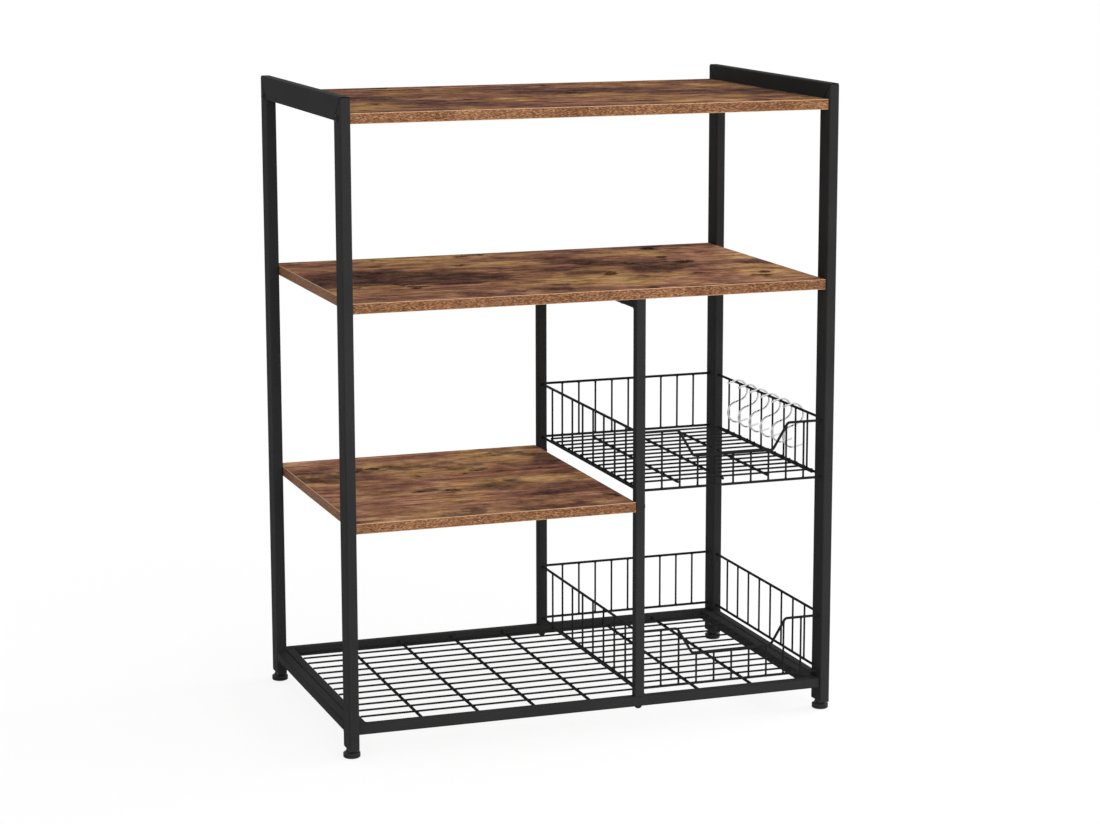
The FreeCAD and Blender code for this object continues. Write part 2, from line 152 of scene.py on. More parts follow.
def swept(path, radius, across, steps=14):
    """Circle carried along a path; radius may change along it, and across is square to the path."""
    path = np.asarray(path, float)
    heading = np.gradient(path, axis=0)
    heading /= np.linalg.norm(heading, axis=1)[:, None]
    across = np.asarray(across, float)
    outward = np.cross(across, heading)
    turn = np.linspace(0, 2 * np.pi, steps, endpoint=False)
    reach = np.broadcast_to(radius, len(path))[:, None, None]
    circle = np.cos(turn)[:, None] * outward[:, None] + np.sin(turn)[:, None] * across
    return skin(path[:, None] + reach * circle)


def bead(start, end, across):
    """Weld bead: a swept circle whose radius ripples along the joint and fades out at both ends."""
    start, end = np.asarray(start, float), np.asarray(end, float)
    share = np.linspace(0, 1, 40)
    length = np.linalg.norm(end - start)
    radius = bead_radius * (1 + bead_ripple_share * np.sin(2 * np.pi * share * length / bead_ripple))
    fade = np.clip(np.minimum(share, 1 - share) / bead_fade_share, bead_thinnest_share, 1) ** 0.5
    return swept(start + share[:, None] * (end - start), radius * fade, across, 10)


class Shade:
    """One socket of a material. Arithmetic on it adds Math nodes, and node() adds any other."""

    def __init__(self, tree, socket):
        self.tree = tree
        self.socket = socket

    def node(self, kind, settings, inputs, out=0):
        """Adds a node of that kind: its settings first, then its inputs, linked or set to a value."""
        made = self.tree.nodes.new(kind)
        for key, value in settings.items():
            if key == "stops":
                ends = made.color_ramp.elements
                ends[0].position, ends[1].position = value[0][0], value[-1][0]
                ends[0].color, ends[1].color = (*value[0][1], 1), (*value[-1][1], 1)
                for place, tint in value[1:-1]:
                    ends.new(place).color = (*tint, 1)
            else:
                setattr(made, key, value)
        for key, value in inputs.items():
            if isinstance(value, Shade):
                self.tree.links.new(value.socket, made.inputs[key])
            else:
                made.inputs[key].default_value = value
        return Shade(self.tree, made.outputs[out])

    def math(self, operation, first, second=0.0):
        """Adds one Math node."""
        return self.node("ShaderNodeMath", {"operation": operation}, {0: first, 1: second})

    def __add__(self, other):
        return self.math("ADD", self, other)

    def __radd__(self, other):
        return self.math("ADD", other, self)

    def __sub__(self, other):
        return self.math("SUBTRACT", self, other)

    def __rsub__(self, other):
        return self.math("SUBTRACT", other, self)

    def __mul__(self, other):
        return self.math("MULTIPLY", self, other)

    def __rmul__(self, other):
        return self.math("MULTIPLY", other, self)

    def __truediv__(self, other):
        return self.math("DIVIDE", self, other)

    def __rtruediv__(self, other):
        return self.math("DIVIDE", other, self)

    def between(self, low, high):
        """0 below low and 1 above high, with a smooth step from one to the other."""
        limits = {"Value": self, "From Min": low, "From Max": high}
        return self.node("ShaderNodeMapRange", {"interpolation_type": "SMOOTHSTEP"}, limits)

    def mix(self, first, second):
        """Colour first where this is 0, and second where it is 1."""
        return self.node("ShaderNodeMix", {"data_type": "RGBA"}, {0: self, 6: first, 7: second}, 2)

    def noise(self, scale, detail, stretch=(1, 1, 1), shift=(0, 0, 0), ragged=0.5):
        """Cloudy value about 0.5, drawn out along the axes with a small stretch."""
        mapping = {"Vector": self, "Scale": stretch, "Location": shift}
        place = self.node("ShaderNodeMapping", {}, mapping)
        inputs = {"Vector": place, "Scale": scale, "Detail": detail, "Roughness": ragged}
        return self.node("ShaderNodeTexNoise", {}, inputs)


def colour(red, green, blue):
    """Linear colour from the usual 0 to 255 values."""
    share = np.array([red, green, blue]) / 255
    linear = np.where(share > 0.04045, ((share + 0.055) / 1.055) ** 2.4, share / 12.92)
    return tuple(float(value) for value in linear)


def paint(red, green, blue):
    """The same colour, opaque, as a shader takes it."""
    return (*colour(red, green, blue), 1.0)


def new_finish(name, **fixed):
    """A material with its fixed shader values set, its shader, and the place on the piece in metres."""
    material = bpy.data.materials.new(name)
    material.use_nodes = True
    tree = material.node_tree
    shader = tree.nodes["Principled BSDF"]
    for key, value in fixed.items():
        shader.inputs[key.replace("_", " ")].default_value = value
    place = Shade(tree, tree.nodes.new("ShaderNodeTexCoord").outputs["Object"])
    return material, shader, place


def lay(shader, relief, height, **values):
    """Links what changes over the surface to the shader, with relief as a bump of a height in metres."""
    inputs = {"Height": relief, "Distance": height, "Strength": 1.0}
    bump = relief.node("ShaderNodeBump", {}, inputs)
    relief.tree.links.new(bump.socket, shader.inputs["Normal"])
    for key, value in values.items():
        relief.tree.links.new(value.socket, shader.inputs[key.replace("_", " ")])


peel_height = 0.00004


def powder_coat(name, dark, light, roughness, specular):
    """Baked powder film: a fine orange peel, and a slow drift of depth and gloss. Its seam mask paints the
    mitre seam's groove near black, as painted shade."""
    material, shader, place = new_finish(name, Specular_IOR_Level=specular)
    drift = place.noise(7.0, 3.0)
    peel = place.noise(620.0, 2.0)
    speck = place.noise(1900.0, 1.0).between(0.62, 0.72)
    # Painted shade: rings marked at a mitre seam are painted near black, where the groove lies in shade.
    seam = place.node("ShaderNodeAttribute", {"attribute_name": "seam"}, {}, 2)
    tone = (drift * 0.7 + peel * 0.3).between(0.3, 0.7).mix(dark, light)
    tone = seam.between(0.0, 0.5).mix(tone, paint(5, 5, 5))
    rough = roughness + 0.10 * (drift - 0.5) + 0.10 * (peel - 0.5) + 0.05 * speck
    lay(shader, peel + 0.25 * speck, peel_height, Base_Color=tone, Roughness=rough)
    return material


frame_coat = powder_coat("black_powder_coat", paint(42, 42, 42), paint(48, 48, 48), 0.55, 0.005)
post_foot, post_head = span("left_front_post")
top_of_rack = post_head[2]
rack_front = post_foot[1]


def post_mitre(ring):
    """A post stands back from the top by as much as a point lies inside its outer face."""
    return -rack_front - np.abs(ring[:, 1])


def rail_mitre(ring):
    """A top rail stands back from its end by as much as a point lies below the top."""
    return top_of_rack - ring[:, 2]


# The rings at each mitre are marked, so that the coat paints shade near black into the seam.
for side in ("left", "right"):
    for end in ("front", "back"):
        node = f"{side}_{end}_post"
        post = tube(node, end=(post_mitre, mitre_seam, mitre_seam_depth))
        mark(piece(f"{node}_tube", [post], frame_coat, "frame", "rack", node), "seam", (0, 0, 0, 1))
    node = f"{side}_top_rail"
    mitre = (rail_mitre, mitre_seam, mitre_seam_depth)
    rail = tube(node, mitre, mitre)
    mark(piece(f"{node}_tube", [rail], frame_coat, "frame", "rack", node), "seam", (1, 0, 0, 1))
    node = f"{side}_lower_rail"
    piece(f"{node}_tube", [tube(node)], frame_coat, "frame", "rack", node)
    low, high = span(node)
    beads = []
    for y in (low[1], high[1]):
        for z in (low[2], high[2]):
            beads.append(bead((low[0], y, z), (high[0], y, z), (0, 0, 1)))
    piece(f"{side}_frame_welds", beads, frame_coat, "frame", "rack")

# Bottom frame. Square tubes: the long front and back rail and the two end rails between them, welded
# at the corners, coated with the rest and bolted to the side frames' lower rails.
for place in ("front", "back", "left", "right"):
    node = f"bottom_{place}_rail"
    piece(f"{node}_tube", [tube(node)], frame_coat, "frame", "rack", node)
beads = []
low, high = span("bottom_left_rail")
for x in (low[0], span("bottom_right_rail")[1][0]):
    inner = math.copysign(abs(x) - (high[0] - low[0]), x)
    for y in (low[1], high[1]):
        beads.append(bead((inner, y, low[2]), (inner, y, high[2]), (1, 0, 0)))
piece("bottom_frame_welds", beads, frame_coat, "frame", "rack")

# Wire bottom. Drawn steel wire, resistance welded where the wires cross: thin wires across the rack on
# thicker bearers that run front to back, their ends welded to the bottom frame and coated with it.
mesh_wire = 0.003
mesh_bearer = 0.0045
mesh_wire_count = 13
mesh_bearer_count = 7
mesh_weld = (0.0019, 0.0019, 0.001)
wire_coat = powder_coat("black_coated_wire", paint(28, 28, 29), paint(37, 37, 38), 0.5, 0.012)


def straight_wire(start, end, diameter):
    """Drawn wire, a swept circle whose cut ends are eased over half a radius."""
    start, end = np.asarray(start, float), np.asarray(end, float)
    heading = (end - start) / np.linalg.norm(end - start)
    ease = np.array([0.0, 0.12, 0.5]) * diameter / 2
    path = np.concatenate([start + ease[:, None] * heading, end - ease[::-1, None] * heading])
    radius = np.array([0.6, 0.86, 1, 1, 0.86, 0.6]) * diameter / 2
    across = (0, 0, 1) if abs(heading[2]) < 0.5 else (1, 0, 0)
    return swept(path, radius, across, 12)


def nugget(place, reach):
    """Weld spot where two wires meet: a small ball with the three reaches, flattened into the pair."""
    turn = np.linspace(0, 2 * np.pi, 8, endpoint=False)
    rise = np.radians([-60, -20, 20, 60])
    ring = np.stack([np.cos(turn), np.sin(turn), np.zeros(8)], -1)
    ball = np.cos(rise)[:, None, None] * ring + np.sin(rise)[:, None, None] * np.array([0, 0, 1])
    return skin(np.asarray(place) + ball * np.asarray(reach))


def rows(low, high, count):
    """Places of wires that divide a length evenly, with none at its ends."""
    return np.linspace(low, high, count + 2)[1:-1]


low, high = span("bottom_wire_mesh")
wire_z = high[2] - mesh_wire / 2
bearer_z = wire_z - (mesh_wire + mesh_bearer) / 2
wires = []
for x in rows(low[0], high[0], mesh_bearer_count):
    wires.append(straight_wire((x, low[1], bearer_z), (x, high[1], bearer_z), mesh_bearer))
for y in rows(low[1], high[1], mesh_wire_count):
    wires.append(straight_wire((low[0], y, wire_z), (high[0], y, wire_z), mesh_wire))
    for x in rows(low[0], high[0], mesh_bearer_count):
        wires.append(nugget((x, y, wire_z - mesh_wire / 2), mesh_weld))
piece("bottom_mesh_wires", wires, wire_coat, "wire", "rack", "bottom_wire_mesh")

# Divider. Two square posts that stand on the bottom frame, and a rail between their heads under the
# middle shelf. Welded and coated like the frames.
for part in ("front_post", "back_post", "top_rail"):
    node = f"divider_{part}"
    piece(f"{node}_tube", [tube(node)], frame_coat, "frame", "rack", node)
low, high = span("divider_top_rail")
beads = []
for y in (low[1], high[1]):
    beads.append(bead((low[0], y, low[2]), (high[0], y, low[2]), (0, 0, 1)))
piece("divider_welds", beads, frame_coat, "frame", "rack")

# Shelves. Particle board with a printed rustic wood laminate on both faces, and a strip of wood-grain
# banding glued round the edge, its arris eased by the trimming cutter.
arris = 0.0009
arris_steps = np.radians(np.linspace(0, 90, 5))
board_corner = 0.0005
band_corner = 0.0012
band_inner_corner = 0.0002
print_depth = 0.46
plank_wander = 0.22
fibre_height = 0.00004
band_grain_height = 0.00005


def slab(low, high):
    """Flat board between two rounded outlines."""
    half = (high - low) / 2
    outline = rounded_rectangle(half[0], half[1], board_corner, 2) + ((low + high) / 2)[:2]
    rings = [np.column_stack([outline, np.full(len(outline), z)]) for z in (low[2], high[2])]
    return skin(np.array(rings))


def edge_band(low, high, thickness):
    """Band round a board: one profile, with a quarter circle at each arris, carried round the outline.
    Also gives each ring's share of the pale arris line, partly wear and partly painted highlight:
    most in the middle of an arris, and not at all elsewhere."""
    middle = (low + high) / 2
    half = (high - low) / 2
    drop = arris * (1 - np.sin(arris_steps[::-1]))
    draw = arris * (1 - np.cos(arris_steps[::-1]))
    inset = np.concatenate([[thickness], draw, draw[::-1], [thickness]])
    height = np.concatenate([[0], drop, 2 * half[2] - drop[::-1], [2 * half[2]]])[::-1]
    # The pale arris line is partly wear from the cutter and partly a painted highlight.
    worn = np.concatenate([[0], np.sin(2 * arris_steps), np.sin(2 * arris_steps), [0]])
    rings = []
    for back, z in zip(inset, height):
        corner = max(band_corner - back, band_inner_corner)
        outline = rounded_rectangle(half[0] - back, half[1] - back, corner, 3)
        rings.append(np.column_stack([outline + middle[:2], np.full(len(outline), low[2] + z)]))
    return skin(np.array(rings[::-1]), looped=True), worn


def rustic_laminate(name, shift, painted_light_lift, planks):
    """Printed rustic wood. One tone, from mottling, fibres and patches, runs up a red-brown and an ochre
    scale. Over it lie smoky clouds, more of them on the smoky planks, whose edges wander along X, then
    cracks, small knots, pale pits and dark pores. The lift makes a whole board paler or darker; it is
    painted light, paler for the boards in the shade of those above and darker for the top board."""
    material, shader, place = new_finish(name, Specular_IOR_Level=0.0)
    near, far, other = (tuple(value + step for value in shift) for step in (1.9, 3.1, 7.7))
    wander = place.noise(6.0, 4.0, (1, 1, 1), shift, 0.6) - 0.5
    across = place.node("ShaderNodeSeparateXYZ", {}, {"Vector": place}, 1)
    stops = [(share, (smoke, smoke, smoke)) for share, smoke in planks]
    depth_share = (across + wander * plank_wander) / print_depth + 0.5
    plank = across.node("ShaderNodeValToRGB", {"stops": stops}, {"Fac": depth_share})
    cloud = place.noise(10.0, 8.0, (0.7, 1.0, 1), far, 0.66)
    patch = place.noise(8.0, 8.0, (0.6, 1.0, 1), other, 0.66)
    mottle = place.noise(55.0, 6.0, (0.5, 1.0, 1), near, 0.7)
    fibre = place.noise(60.0, 6.0, (0.08, 1.6, 1), shift, 0.65)
    thread = place.noise(170.0, 4.0, (0.04, 2.2, 1), shift)
    knot = place.noise(19.0, 5.0, (0.7, 0.9, 1), near, 0.6)
    crack = place.noise(15.0, 5.0, (0.35, 1.5, 1), other, 0.6) - 0.5
    pit = place.noise(340.0, 3.0, (0.5, 1.0, 1), far, 0.6).between(0.60, 0.68)
    pore = place.noise(300.0, 2.0, (0.08, 2.0, 1), shift).between(0.60, 0.70)
    # The lift is painted light: it makes the whole board paler or darker.
    tone = 0.5 + painted_light_lift + (mottle - 0.5) * 1.8 + (fibre - 0.5) * 1.5 + (patch - 0.5) * 1.2
    red_brown = tone.node("ShaderNodeValToRGB", {"stops": (
        (0.0, colour(56, 41, 40)), (0.25, colour(93, 65, 57)), (0.5, colour(128, 89, 72)),
        (0.75, colour(156, 113, 90)), (1.0, colour(188, 145, 115)))}, {"Fac": tone})
    ochre = tone.node("ShaderNodeValToRGB", {"stops": (
        (0.0, colour(64, 48, 37)), (0.25, colour(105, 77, 53)), (0.5, colour(143, 106, 68)),
        (0.75, colour(172, 133, 88)), (1.0, colour(200, 163, 115)))}, {"Fac": tone})
    wood = patch.between(0.45, 0.60).mix(red_brown, ochre)
    smoke = (cloud + (plank - 0.5) * 0.24 + (mottle - 0.5) * 0.3).between(0.50, 0.61)
    haze = mottle.between(0.40, 0.62).mix(paint(52, 38, 36), paint(98, 72, 66))
    wood = (smoke * (0.85 + 0.5 * (fibre - 0.5))).mix(wood, haze)
    line = 1 - crack.math("ABSOLUTE", crack).between(0.002, 0.010)
    wood = (line * cloud.between(0.46, 0.56) * 0.6).mix(wood, paint(44, 31, 27))
    wood = (knot.between(0.61, 0.67) * 0.9).mix(wood, paint(34, 25, 22))
    wood = (pit * 0.3).mix(wood, paint(196, 156, 118))
    wood = (pore * 0.3).mix(wood, paint(48, 34, 28))
    rough = 0.27 + 0.10 * (fibre - 0.5) + 0.10 * pore
    relief = fibre * 0.5 + thread * 0.5 - 0.6 * pore
    lay(shader, relief, fibre_height, Base_Color=wood, Roughness=rough)
    return material


def edge_print(name):
    """Banding print: fine short grain along the strip, paler along the eased arris, which is partly wear
    from the cutter and partly a painted highlight.
    """
    material, shader, place = new_finish(name, Specular_IOR_Level=0.01)
    drift = place.noise(14.0, 4.0, (0.8, 0.8, 1))
    grain = place.noise(1500.0, 3.0, (0.17, 0.17, 1.0), (0, 0, 0), 0.6)
    speck = place.noise(1300.0, 2.0, (0.5, 0.5, 1.0)).between(0.58, 0.70)
    worn = place.node("ShaderNodeAttribute", {"attribute_name": "worn"}, {}, 2)
    tone = 0.5 + (grain - 0.5) * 3.2 + (drift - 0.5) * 0.6
    base = tone.node("ShaderNodeValToRGB", {"stops": (
        (0.0, colour(70, 44, 28)), (0.35, colour(106, 71, 48)), (0.65, colour(132, 92, 64)),
        (1.0, colour(178, 134, 98)))}, {"Fac": tone})
    base = (speck * 0.5).mix(base, paint(74, 48, 34))
    # Paler along the arris: partly wear, partly a painted highlight.
    base = (worn * 0.9).mix(base, paint(216, 180, 150))
    rough = 0.40 + 0.12 * (grain - 0.5)
    lay(shader, grain - 0.4 * speck, band_grain_height, Base_Color=base, Roughness=rough)
    return material


band_print = edge_print("wood_grain_banding")
# Each shelf's first value is its painted light lift: the lower shelves, in the shade of the boards above,
# are painted paler, and the top shelf darker.
shelf_prints = {
    "top_shelf": (-0.10, ((0.0, 0.3), (0.3, 0.45), (0.5, 0.85), (0.7, 0.35), (1.0, 0.25))),
    "middle_shelf": (0.17, ((0.0, 0.3), (0.28, 0.2), (0.4, 0.9), (0.66, 0.9), (0.8, 0.2), (1.0, 0.3))),
    "small_shelf": (0.20, ((0.0, 0.55), (0.3, 0.35), (0.55, 0.4), (0.75, 0.75), (1.0, 0.4))),
}
for number, (shelf, (painted_light_lift, planks)) in enumerate(shelf_prints.items()):
    shift = (1.7 * number, 2.3 * number, 0.9 * number)
    laminate = rustic_laminate(f"rustic_laminate_{shelf}", shift, painted_light_lift, planks)
    low, high = span(shelf)
    piece(f"{shelf}_board", [slab(low, high)], laminate, "board", "rack", shelf)
    strip_low, strip_high = span(f"{shelf}_edging")
    band, worn = edge_band(strip_low, strip_high, (low - strip_low)[0])
    made = piece(f"{shelf}_band", [band], band_print, "edging", "rack", f"{shelf}_edging")
    # Marks the arrises for the band's pale line, partly wear and partly painted highlight.
    mark(made, "worn", worn)

# Wire baskets. Panels of coated wire between the divider and the right frame: two rims each, with
# uprights welded between them. The front rim is bent down in the middle for a hand. The rims' ends
# stand in holes in the posts; only the upper basket has a floor of its own.
rim_wire = 0.004
upright_wire = 0.003
front_upright_count = 9
side_upright_count = 8
rim_insertion = 0.003
dip_shoulder = 0.054
dip_run = 0.024
dip_fall = 0.0395
dip_bend = 0.006
rim_weld = (0.0023, 0.0017, 0.0013)


def bent(corners, radius, steps=7):
    """Path through corners, each inner one rounded by an arc that touches both of its runs."""
    corners = np.asarray(corners, float)
    path = [corners[:1]]
    for before, corner, after in zip(corners, corners[1:], corners[2:]):
        into = (corner - before) / np.linalg.norm(corner - before)
        out = (after - corner) / np.linalg.norm(after - corner)
        half_turn = math.acos(np.clip(into @ out, -1, 1)) / 2
        inward = (out - into) / np.linalg.norm(out - into)
        centre = corner + inward * radius / math.cos(half_turn)
        swing = np.linspace(-half_turn, half_turn, steps)[:, None]
        along = (into + out) / np.linalg.norm(into + out)
        path.append(centre - radius * (np.cos(swing) * inward - np.sin(swing) * along))
    return np.concatenate(path + [corners[-1:]])


def panel(node, along, count, dipped):
    """Wires of one panel, whose long axis is along. The uprights run from the middle of one rim to the
    middle of the other, and a small flattened ball of weld sits at each end."""
    low, high = span(node)
    through = 1 - along
    plane = (low + high)[through] / 2
    bottom, top = low[2] + rim_wire / 2, high[2] - rim_wire / 2
    start, end = low[along], high[along]
    shoulder = dip_shoulder + rim_insertion

    def at(place, depth, z):
        spot = np.empty(3)
        spot[along], spot[through], spot[2] = place, depth, z
        return spot

    wires = [straight_wire(at(start, plane, bottom), at(end, plane, bottom), rim_wire)]
    if dipped:
        corners = [at(start, plane, top), at(start + shoulder, plane, top),
                   at(start + shoulder + dip_run, plane, top - dip_fall),
                   at(end - shoulder - dip_run, plane, top - dip_fall),
                   at(end - shoulder, plane, top), at(end, plane, top)]
        wires.append(swept(bent(corners, dip_bend), rim_wire / 2, (0, 1, 0)))
    else:
        wires.append(straight_wire(at(start, plane, top), at(end, plane, top), rim_wire))
    for place in rows(start + rim_insertion, end - rim_insertion, count):
        into_dip = (min(place - start, end - place) - shoulder) * dip_fall / dip_run
        head = top - np.clip(into_dip, 0, dip_fall) if dipped else top
        wires.append(straight_wire(at(place, plane, bottom), at(place, plane, head), upright_wire))
        for z in (bottom + rim_wire / 2, head - rim_wire / 2):
            wires.append(nugget(at(place, plane, z), at(*rim_weld)))
    return wires


for tier in ("upper", "lower"):
    for along, count, sides in ((0, front_upright_count, ("front", "back")),
                                (1, side_upright_count, ("left", "right"))):
        for side in sides:
            node = f"{tier}_basket_{side}_panel"
            wires = panel(node, along, count, side == "front")
            piece(f"{node}_wires", wires, wire_coat, "wire", "rack", node)

floor_wire = 0.003
floor_bearer = 0.004
floor_wire_count = 14
floor_bearer_count = 5
floor_wire_end = 0.003
floor_weld = (0.0018, 0.0018, 0.0009)
low, high = span("upper_basket_floor")
bearer_z = low[2] + floor_bearer / 2
wire_z = high[2] - floor_wire / 2
wires = []
bearer_places = np.linspace(low[0] + floor_bearer / 2, high[0] - floor_bearer / 2, floor_bearer_count)
for x in bearer_places:
    wires.append(straight_wire((x, low[1], bearer_z), (x, high[1], bearer_z), floor_bearer))
for y in np.linspace(low[1] + floor_wire_end, high[1] - floor_wire_end, floor_wire_count):
    wires.append(straight_wire((low[0], y, wire_z), (high[0], y, wire_z), floor_wire))
    for x in bearer_places:
        wires.append(nugget((x, y, wire_z - floor_wire / 2), floor_weld))
piece("upper_basket_floor_wires", wires, wire_coat, "wire", "rack", "upper_basket_floor")

# S-hooks. Bright chromed wire bent into two equal loops with straight flared tips, hung over the upper
# basket's right rim, so that each swings on it by itself.
hook_wire = 0.003
hook_loop_radius = 0.0165
hook_loop_spread = 0.0345
hook_tip_angle = 105.0
hook_tip_length = 0.014
hook_tip_shares = np.array([1.0, 0.985, 0.95, 0.5])
hook_end_share = 0.55
hook_ease_share = 0.85
hook_count = 6
chrome_ripple = 0.000004
chrome, shader, place = new_finish("bright_chrome", Metallic=1.0)
smear = place.noise(120.0, 3.0)
lay(shader, place.noise(900.0, 2.0), chrome_ripple,
    Base_Color=smear.between(0.3, 0.7).mix(paint(196, 197, 199), paint(216, 216, 217)),
    Roughness=0.05 + 0.07 * smear)


def hook_path():
    """Straight tip, an arc of the upper loop, a straight through the middle, then the same mirrored."""
    leave = math.degrees(math.acos(2 * hook_loop_radius / hook_loop_spread)) - 90
    turn = np.radians(np.linspace(hook_tip_angle, leave, 40))
    height = hook_loop_spread / 2 + hook_loop_radius * np.sin(turn)
    arc = np.stack([hook_loop_radius * np.cos(turn), 0 * turn, height], -1)
    heading = np.radians(hook_tip_angle + 90)
    reach = hook_tip_length * hook_tip_shares[:, None]
    tip = arc[0] + reach * np.array([np.cos(heading), 0, np.sin(heading)])
    upper = np.concatenate([tip, arc])
    return np.concatenate([upper, -upper[::-1]])


path = hook_path()
radius = np.full(len(path), hook_wire / 2)
radius[[0, -1]] *= hook_end_share
radius[[1, -2]] *= hook_ease_share
for number in range(1, hook_count + 1):
    node = f"s_hook_{number}"
    middle = sum(span(node)) / 2
    bend = swept(path + middle, radius, (0, 1, 0), 16)
    piece(f"{node}_bend", [bend], chrome, "hook", node, node)

# Bolts. Black button heads with a hexagon socket: four through the posts into the top shelf, four that
# hold the bottom frame, two up into the divider's posts, and two with low heads through the divider
# into the small shelf.
base_share = 0.96
crown_share = 0.25
rim_share = 0.12
dome_turn = 75
socket_share = 0.42
socket_depth_share = 0.55
socket_chamfer = 1.08
socket_chamfer_depth = 0.06
socket_point_share = 0.3
socket_point_depth = 1.15
shank_share = 0.5
shank_length = 0.012
lobe_share = 0.38
bolt_finish = powder_coat("black_oxide", paint(30, 30, 31), paint(46, 46, 47), 0.4, 0.03)


def turned(stations, shape=None, steps=36):
    """Rings about the Z axis through stations of radius, height and whether the shape, which scales the
    radius round the turn, holds there."""
    turn = np.linspace(0, 2 * np.pi, steps, endpoint=False)
    rings = []
    for radius, height, shaped in stations:
        reach = radius * (shape(turn) if shaped else 1)
        rings.append(np.stack([reach * np.cos(turn), reach * np.sin(turn), 0 * turn + height], -1))
    return skin(np.array(rings))


def hexagon(turn):
    """Reach of a hexagon over its inner circle: one over the cosine of the angle from the flat's middle."""
    return 1 / np.cos((turn + np.pi / 6) % (np.pi / 3) - np.pi / 6)


def cross(turn):
    """Four rounded lobes, as the recess of a cross-head screw has."""
    return 1 - lobe_share + lobe_share * np.cos(4 * turn)


def facing(surface, place, direction):
    """A surface made about the Z axis, turned to a direction and set on a place."""
    points, quads, fans = surface
    direction = np.asarray(direction, float)
    side = np.cross(direction, (0, 0, 1) if abs(direction[2]) < 0.5 else (0, 1, 0))
    side /= np.linalg.norm(side)
    basis = np.array([side, np.cross(direction, side), direction])
    return points @ basis + np.asarray(place), quads, fans


def head_of(radius, height, recess):
    """Domed head: an arc from the rim to the crown, then the recess down into it."""
    dome = []
    for rise in np.radians(np.linspace(0, dome_turn, 8)):
        reach = radius * (crown_share + (1 - crown_share) * np.cos(rise))
        dome.append((reach, height * (rim_share + (1 - rim_share) * np.sin(rise)), False))
    mouth = radius * socket_share
    crown = dome[-1][1]
    depth = height * socket_depth_share
    well = [(mouth * socket_chamfer, crown, True), (mouth, crown - height * socket_chamfer_depth, True),
            (mouth, crown - depth, True),
            (mouth * socket_point_share, crown - depth * socket_point_depth, True)]
    return turned([(radius * base_share, 0, False)] + dome + well, recess)


def bolt_heads(name, node, places, direction, radius, height, recess, slot, material):
    """Heads at the places, each on a plain shank that runs back into the rack."""
    surfaces = []
    for place in places:
        outward = np.asarray(direction(place), float)
        surfaces.append(facing(head_of(radius, height, recess), place, outward))
        shank_radius = radius * shank_share
        shank = turned([(shank_radius, -shank_length, False), (shank_radius, 0, False)])
        surfaces.append(facing(shank, place, outward))
    piece(name, surfaces, material, slot, "rack", node)


bolt_head = 0.0055
bolt_head_height = 0.0026
low_head_height = 0.0013
low, high = span("top_shelf_bolts")
post_face = post_foot[0]
places = [(x, y, (low + high)[2] / 2) for x in (post_face, -post_face)
          for y in (low[1] + bolt_head, high[1] - bolt_head)]
bolt_heads("top_shelf_bolt_heads", "top_shelf_bolts", places,
           lambda place: (math.copysign(1, place[0]), 0, 0),
           bolt_head, bolt_head_height, hexagon, "bolt", bolt_finish)
low, high = span("bottom_frame_bolts")
rail_face = span("bottom_right_rail")[0][0]
places = [(x, y, (low + high)[2] / 2) for x in (rail_face, -rail_face)
          for y in (low[1] + bolt_head, high[1] - bolt_head)]
bolt_heads("bottom_frame_bolt_heads", "bottom_frame_bolts", places,
           lambda place: (-math.copysign(1, place[0]), 0, 0),
           bolt_head, bolt_head_height, hexagon, "bolt", bolt_finish)
low, high = span("divider_bolts")
rail_bottom = span("bottom_front_rail")[0][2]
places = [((low + high)[0] / 2, y, rail_bottom) for y in (low[1] + bolt_head, high[1] - bolt_head)]
bolt_heads("divider_bolt_heads", "divider_bolts", places, lambda place: (0, 0, -1),
           bolt_head, rail_bottom - low[2], hexagon, "bolt", bolt_finish)
low, high = span("small_shelf_bolts")
divider_face = span("divider_front_post")[1][0]
places = [(divider_face, y, (low + high)[2] / 2) for y in (low[1] + bolt_head, high[1] - bolt_head)]
bolt_heads("small_shelf_bolt_heads", "small_shelf_bolts", places, lambda place: (1, 0, 0),
           bolt_head, low_head_height, hexagon, "bolt", bolt_finish)

# Zinc plated steel inside: the barrel nuts and screws that show from below, and the studs that carry
# the shelves.
screw_head = 0.004
scratch_height = 0.00001


def zinc(name):
    """Bright zinc: a cool grey that drifts in tone, with fine drawing marks."""
    material, shader, place = new_finish(name, Metallic=1.0)
    drift = place.noise(160.0, 3.0)
    scratch = place.noise(1500.0, 2.0, (1, 1, 0.1))
    tone = drift.between(0.3, 0.7).mix(paint(150, 152, 154), paint(186, 187, 186))
    lay(shader, scratch, scratch_height, Base_Color=tone, Roughness=0.28 + 0.15 * drift)
    return material


steel = zinc("zinc_plated_steel")
low, high = span("divider_screws")
rail_bottom = span("divider_top_rail")[0][2]
places = [((low + high)[0] / 2, y, rail_bottom) for y in (low[1] + screw_head, high[1] - screw_head)]
bolt_heads("divider_screw_heads", "divider_screws", places, lambda place: (0, 0, -1),
           screw_head, rail_bottom - low[2], cross, "steel", steel)
for node in ("top_shelf_nuts", "middle_shelf_pins", "small_shelf_pins"):
    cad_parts[node].material_slots[0].material = steel

# Levelling feet. A ribbed round pad of black plastic moulded on a threaded stud, which screws into a
# plug in the post's lower end; the divider's posts have plain threaded plugs of the same plastic.
thread_pitch = 0.001
thread_depth = 0.0004
thread_rings = 6
thread_crease = 60
spark_height = 0.00004


